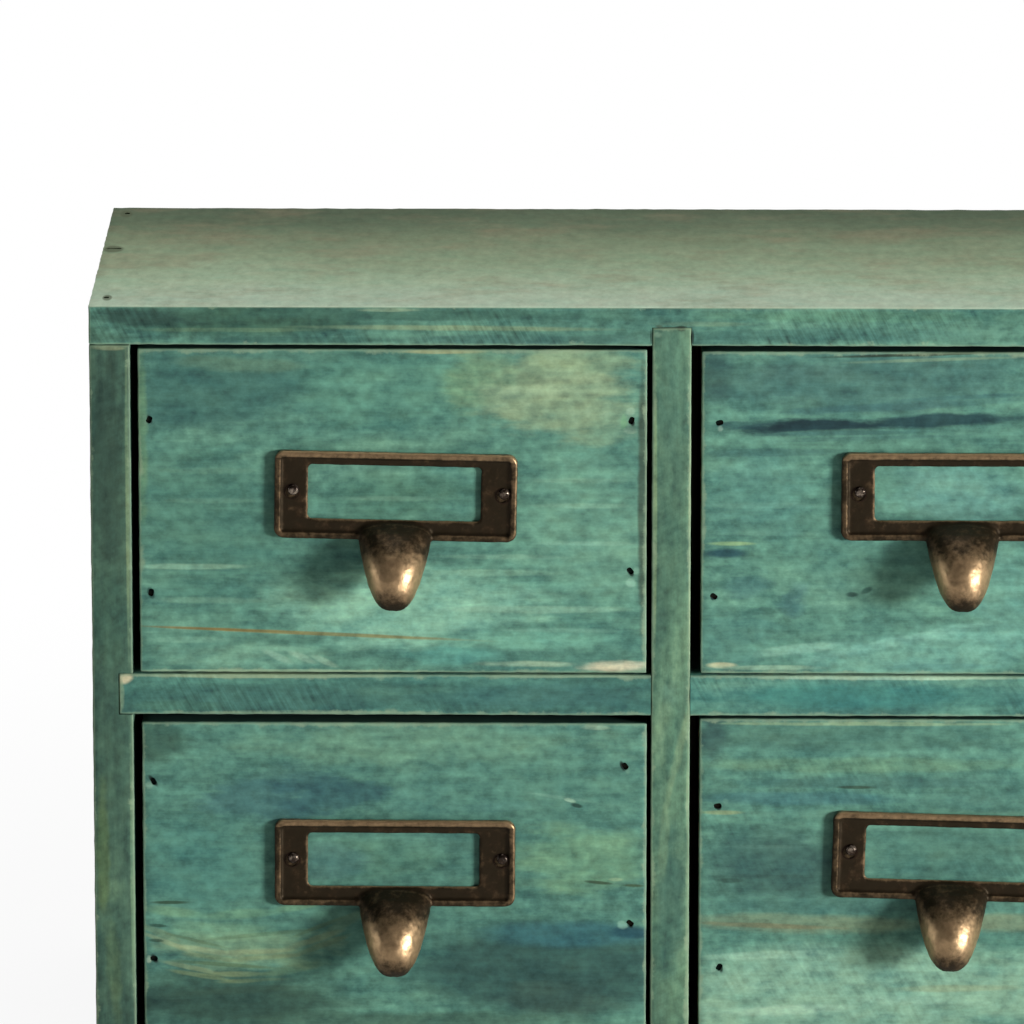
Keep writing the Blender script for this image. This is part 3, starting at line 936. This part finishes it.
def finger_spoon():
    """The spoon: rings drawn out from the heel to the tip, cut in half along its rim and given a wall."""
    length = math.hypot(SPOON_DROP, SPOON_REACH)
    reach = SPOON_PEAK + SPOON_HEEL
    stations = []
    for step in range(SPOON_RINGS, 0, -1):
        along = reach * (step / SPOON_RINGS) ** 2
        across = SPOON_HALF_W * (along / length) ** SPOON_TAPER
        span = SPOON_PEAK if along < SPOON_PEAK else SPOON_HEEL
        height = SPOON_CREST * math.sqrt(max(0.0, 1 - ((along - SPOON_PEAK) / span) ** 2))
        if along > SPOON_PEAK:
            height = max(height, 2 * SPOON_WALL)
        stations.append((along, across, height))
    bpy.ops.object.select_all(action="DESELECT")
    bpy.ops.mesh.primitive_circle_add(vertices=SPOON_ROUND, radius=1 * MM, location=(0, 0, 0))
    spoon = bpy.context.object
    spoon.name = "finger_spoon"
    bpy.ops.object.mode_set(mode="EDIT")
    bpy.ops.mesh.select_all(action="SELECT")
    along, across, height = stations[0]
    bpy.ops.transform.resize(value=(across / MM, height / MM, 1), center_override=(0, 0, 0))
    bpy.ops.transform.translate(value=(0, 0, along))
    for after in stations[1:]:
        step = {"value": (0, 0, after[0] - along)}
        bpy.ops.mesh.extrude_region_move(TRANSFORM_OT_translate=step)
        scale = (after[1] / across, after[2] / height, 1)
        along, across, height = after
        bpy.ops.transform.resize(value=scale, center_override=(0, 0, along))
    bpy.ops.mesh.extrude_region_move(TRANSFORM_OT_translate={"value": (0, 0, -along)})
    bpy.ops.mesh.merge(type="CENTER")
    bpy.ops.mesh.select_all(action="SELECT")
    bpy.ops.mesh.bisect(plane_co=(0, 0, 0), plane_no=(0, 1, 0), clear_outer=True)
    bpy.ops.object.mode_set(mode="OBJECT")
    spoon.rotation_euler = (-math.atan2(SPOON_REACH, SPOON_DROP), 0, 0)
    spoon.location = spoon_tip
    fix_place()
    bpy.ops.object.mode_set(mode="EDIT")
    bpy.ops.mesh.select_all(action="SELECT")
    bpy.ops.mesh.bisect(plane_co=(0, -PULL.y * SPOON_SUNK, 0), plane_no=(0, 1, 0), clear_outer=True)
    bpy.ops.mesh.select_all(action="SELECT")
    bpy.ops.mesh.normals_make_consistent(inside=False)
    bpy.ops.object.mode_set(mode="OBJECT")
    finish_with(spoon, "SOLIDIFY", thickness=SPOON_WALL, offset=-1.0, use_rim=True)
    return spoon


pull = label_frame()
spoon = finger_spoon()
take_up(pull)
spoon.select_set(True)
bpy.ops.object.join()
finish_with(pull, "REMESH", mode="VOXEL", voxel_size=CAST_GRAIN)
finish_with(pull, "SMOOTH", factor=0.5, iterations=4)


def rub_marks(piece):
    """Writes how far each point of a casting stands out, and how much fingers have handled it."""
    mesh = piece.data
    count = len(mesh.vertices)
    place = np.zeros(count * 3)
    mesh.vertices.foreach_get("co", place)
    place = place.reshape(-1, 3)
    normal = np.array([n.vector for n in mesh.vertex_normals])
    ends = np.zeros(len(mesh.edges) * 2, int)
    mesh.edges.foreach_get("vertices", ends)
    ends = ends.reshape(-1, 2)
    near = np.bincount(ends.ravel(), minlength=count)[:, None]

    def gather(values):
        total = np.zeros_like(values)
        np.add.at(total, ends[:, 0], values[ends[:, 1]])
        np.add.at(total, ends[:, 1], values[ends[:, 0]])
        return total / near

    hollow = ((gather(place) - place) * normal).sum(axis=1)[:, None]
    for _ in range(6):
        hollow = gather(hollow)
    proud = np.clip(-hollow[:, 0] / (0.012 * MM), -1.0, 1.0)
    way_up = np.array((0, SPOON_REACH, SPOON_DROP)) / math.hypot(SPOON_REACH, SPOON_DROP)
    along = (place - np.array(spoon_tip)) @ way_up / MM
    on_spoon = place[:, 1] < -PULL.y - BEAD_RISE - 0.5 * MM
    outer = on_spoon * np.clip((0.35 - normal[:, 1]) / 0.3, 0.0, 1.0)
    fading = np.where(along < HANDLED, HANDLED_BELOW, HANDLED_ABOVE)
    handled = outer * np.exp(-(((along - HANDLED) / fading) ** 2))
    handled *= np.clip((normal[:, 2] + 1.0) / 0.5, 0.0, 1.0)
    under = on_spoon * np.clip((UNRUBBED_TIP - along) / UNRUBBED_TIP, 0.0, 1.0)
    turned_up = np.clip(0.15 + 0.6 * normal[:, 2] + 0.2 * normal[:, 0], 0.05, 1.0)
    crest = np.clip((-PULL.y - 0.3 * MM - place[:, 1]) / (0.35 * MM), 0.0, 1.0) * ~on_spoon
    inward = PULL / 2 - Vector((BEAD_W, 0, BEAD_W))
    above = place[:, 2] > inward.z
    beside = (place[:, 0] > inward.x) * ~above
    rubbed = 0.08 + np.where(on_spoon, 0.1, 0.9 * turned_up) * np.clip(proud, -0.1, 1.0)
    rubbed += 0.9 * crest * (0.1 + 0.3 * above + 0.08 * beside)
    rubbed += 0.04 * on_spoon + 0.68 * handled - 0.22 * under
    for x in PIN_PLACES:
        off_pin = np.hypot(place[:, 0] - x - BORE_SHADE.x, place[:, 2] - PIN_RISE - BORE_SHADE.z) / MM
        rubbed -= 0.7 * np.clip((2.3 - off_pin) / 0.5, 0.0, 1.0)
    worn = mesh.attributes.new("rubbed", "FLOAT", "POINT")
    worn.data.foreach_set("value", rubbed.astype(np.float32))


def round_head_pin(x):
    """A pin turned from rod: a domed head with a flattened crown on a thin shank with a point."""
    bpy.ops.object.select_all(action="DESELECT")
    bpy.ops.mesh.primitive_cylinder_add(vertices=24, radius=PIN_HEAD, depth=PIN_DOME)
    pin = bpy.context.object
    bpy.ops.object.mode_set(mode="EDIT")
    pick(pin, "FACE", lambda face: face.normal.z > 0.99)
    bpy.ops.mesh.bevel(offset=PIN_DOME * 0.85, segments=6, affect="EDGES")
    pick(pin, "FACE", lambda face: face.normal.z < -0.99)
    bpy.ops.mesh.inset(thickness=PIN_HEAD - PIN_SHANK)
    bpy.ops.mesh.extrude_region_move(TRANSFORM_OT_translate={"value": (0, 0, -PIN_LENGTH)})
    bpy.ops.mesh.inset(thickness=0.35 * MM)
    bpy.ops.transform.translate(value=(0, 0, -0.6 * MM))
    bpy.ops.object.mode_set(mode="OBJECT")
    pin.rotation_euler = SQUARE_TO_FRONT
    pin.location = (x, -PULL.y - PIN_DOME / 2, PIN_RISE)
    fix_place()
    return pin


def pin_recess(x):
    """A bored hole in the casting, wider than the pin and a little below it."""
    bpy.ops.object.select_all(action="DESELECT")
    bore = {"vertices": 24, "radius": PIN_BORE, "depth": BORE_DEPTH, "rotation": SQUARE_TO_FRONT}
    centre = Vector((x, -PULL.y, PIN_RISE)) + BORE_OFF
    bpy.ops.mesh.primitive_cylinder_add(location=centre, **bore)
    fix_place()
    return bpy.context.object


rub_marks(pull)
pins = round_head_pin(PIN_PLACES[0])
second_pin = round_head_pin(PIN_PLACES[1])
for x in PIN_PLACES:
    cut_away(pull, pin_recess(x))
take_up(pins)
second_pin.select_set(True)
bpy.ops.object.join()
aged_brass = metal("aged_brass", (40, 32, 20), (180, 150, 113), 0.5, "rubbed", 0.13 * MM)
pin_brass = metal("pin_brass", (40, 32, 27), (146, 132, 118), 0.28, None, 0.005 * MM)
cast_skin = noise_relief("cast_skin", 2.6 * MM, 3)
# Where each pull sits from the middle of its front: to the right, up, and by how many degrees it leans
PULL_PLACES = {
    "upper_left": (0.8, 4.3, 1.1),
    "upper_right": (1.8, 4.7, 0.0),
    "lower_left": (0.1, 4.9, 0.2),
    "lower_right": (0.4, 6.2, 1.5),
}
for drawer, (right, up, lean) in PULL_PLACES.items():
    low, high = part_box(drawer + "_front")
    middle = (low + high) / 2
    casting = copy_of(pull, "cast_" + drawer + "_label_pull")
    pair = copy_of(pins, "round_head_" + drawer + "_pull_pins")
    for piece, finish, node in ((casting, aged_brass, "_label_pull"), (pair, pin_brass, "_pull_pins")):
        take_up(piece)
        piece.location = (middle.x + right * MM, low.y, middle.z + up * MM)
        piece.rotation_euler = (0, math.radians(lean), 0)
        fix_place()
        if piece is casting:
            roughen(piece, cast_skin, SKIN_DEPTH)
        give(piece, finish)
        settle(piece, drawer + "_drawer", drawer + node)
bpy.data.objects.remove(pull)
bpy.data.objects.remove(pins)

# Studio
# A plain pale floor under a white backdrop, a soft lamp low at the front on the right, a wide soft one
# overhead, a small one on the left that glints in the metal, and the camera that took the photograph.

FLOOR = 18.0
FLOOR_PAPER = dye(204, 204, 202)
WHITE = (1, 1, 1, 1)
AIM = Vector((0, 0, 0.1))  # what the lamps point at
# Each lamp's place, width, height, watts and colour
LAMPS = {
    "front_lamp": ((1.68, -1.05, 0.30), 0.44, 0.34, 54.5, (1.0, 0.99, 0.97)),
    "overhead_lamp": ((-0.1, 0.3, 2.1), 1.0, 1.0, 31.5, (1.0, 1.0, 1.0)),
    "side_lamp": ((-1.8, -0.15, 0.3), 0.24, 0.24, 3.5, (0.95, 0.98, 1.0)),
}
LOOKING_DOWN = 13.81  # degrees
TURNED_LEFT = 0.66


def studio_floor():
    """A pale floor that keeps the unit's shadow, and turns to the backdrop's white further off."""
    bpy.ops.object.select_all(action="DESELECT")
    bpy.ops.mesh.primitive_plane_add(size=FLOOR, location=(0, 0, 0))
    floor = bpy.context.object
    floor.name = "studio_floor"
    finish, tree = new_finish("floor_paper")
    distance = shift(tree, "LENGTH", wire(tree, "TexCoord", (), "Object"), out="Value")
    paper = wire(tree, "BsdfPrincipled", {"Base Color": FLOOR_PAPER, "Roughness": 0.9})
    white = wire(tree, "Emission", {"Color": WHITE, "Strength": 1.0})
    path = wire(tree, "LightPath", (), None)
    seen = reckon(tree, "ADD", path["Is Camera Ray"], path["Is Glossy Ray"], clamp=True)
    seen = reckon(tree, "ADD", seen, path["Is Transmission Ray"], clamp=True)
    seen = reckon(tree, "MULTIPLY", seen, fade(tree, distance, 0.1, 0.5, 0.9, 1.0))
    close_finish(tree, wire(tree, "MixShader", {0: seen, 1: paper, 2: white}))
    give(floor, finish)


def studio_sky():
    """Even soft light all round, with the white backdrop where the camera or a shiny surface looks back."""
    sky = bpy.data.worlds.new("studio_sky")
    bpy.context.scene.world = sky
    sky.use_nodes = True
    tree = sky.node_tree
    tree.nodes.clear()
    path = wire(tree, "LightPath", (), None)
    way = wire(tree, "SeparateXYZ", {0: wire(tree, "TexCoord", (), "Generated")}, None)
    shiny = reckon(tree, "ADD", path["Is Glossy Ray"], path["Is Transmission Ray"], clamp=True)
    shiny = reckon(tree, "MULTIPLY", shiny, fade(tree, way["Y"], 0.1, 0.6))
    white = reckon(tree, "MAXIMUM", path["Is Camera Ray"], shiny)
    soft = wire(tree, "Background", {"Color": (0.93, 0.97, 1.0, 1), "Strength": 0.04})
    bright = wire(tree, "Background", {"Color": WHITE, "Strength": 1.0})
    surface = wire(tree, "MixShader", {0: white, 1: soft, 2: bright})
    tree.links.new(surface, tree.nodes.new("ShaderNodeOutputWorld").inputs["Surface"])


studio_floor()
studio_sky()
for name, (place, width, height, watts, colour) in LAMPS.items():
    lamp = bpy.data.objects.new(name, bpy.data.lights.new(name, "AREA"))
    lamp.data.shape = "RECTANGLE"
    lamp.data.size = width
    lamp.data.size_y = height
    lamp.data.energy = watts
    lamp.data.color = colour
    lamp.location = place
    lamp.rotation_euler = (AIM - Vector(place)).to_track_quat("-Z", "Y").to_euler()
    bpy.context.scene.collection.objects.link(lamp)

camera = bpy.data.objects.new("photograph_camera", bpy.data.cameras.new("photograph_camera"))
camera.location = (-0.014, -2.365, 0.7168)
camera.rotation_euler = (math.radians(90 - LOOKING_DOWN), 0, math.radians(TURNED_LEFT))
camera.data.sensor_width = 36.0
camera.data.lens = 327.8
camera.data.clip_end = 100
bpy.context.scene.collection.objects.link(camera)
bpy.context.scene.camera = camera
bpy.context.scene.view_settings.view_transform = "Standard"
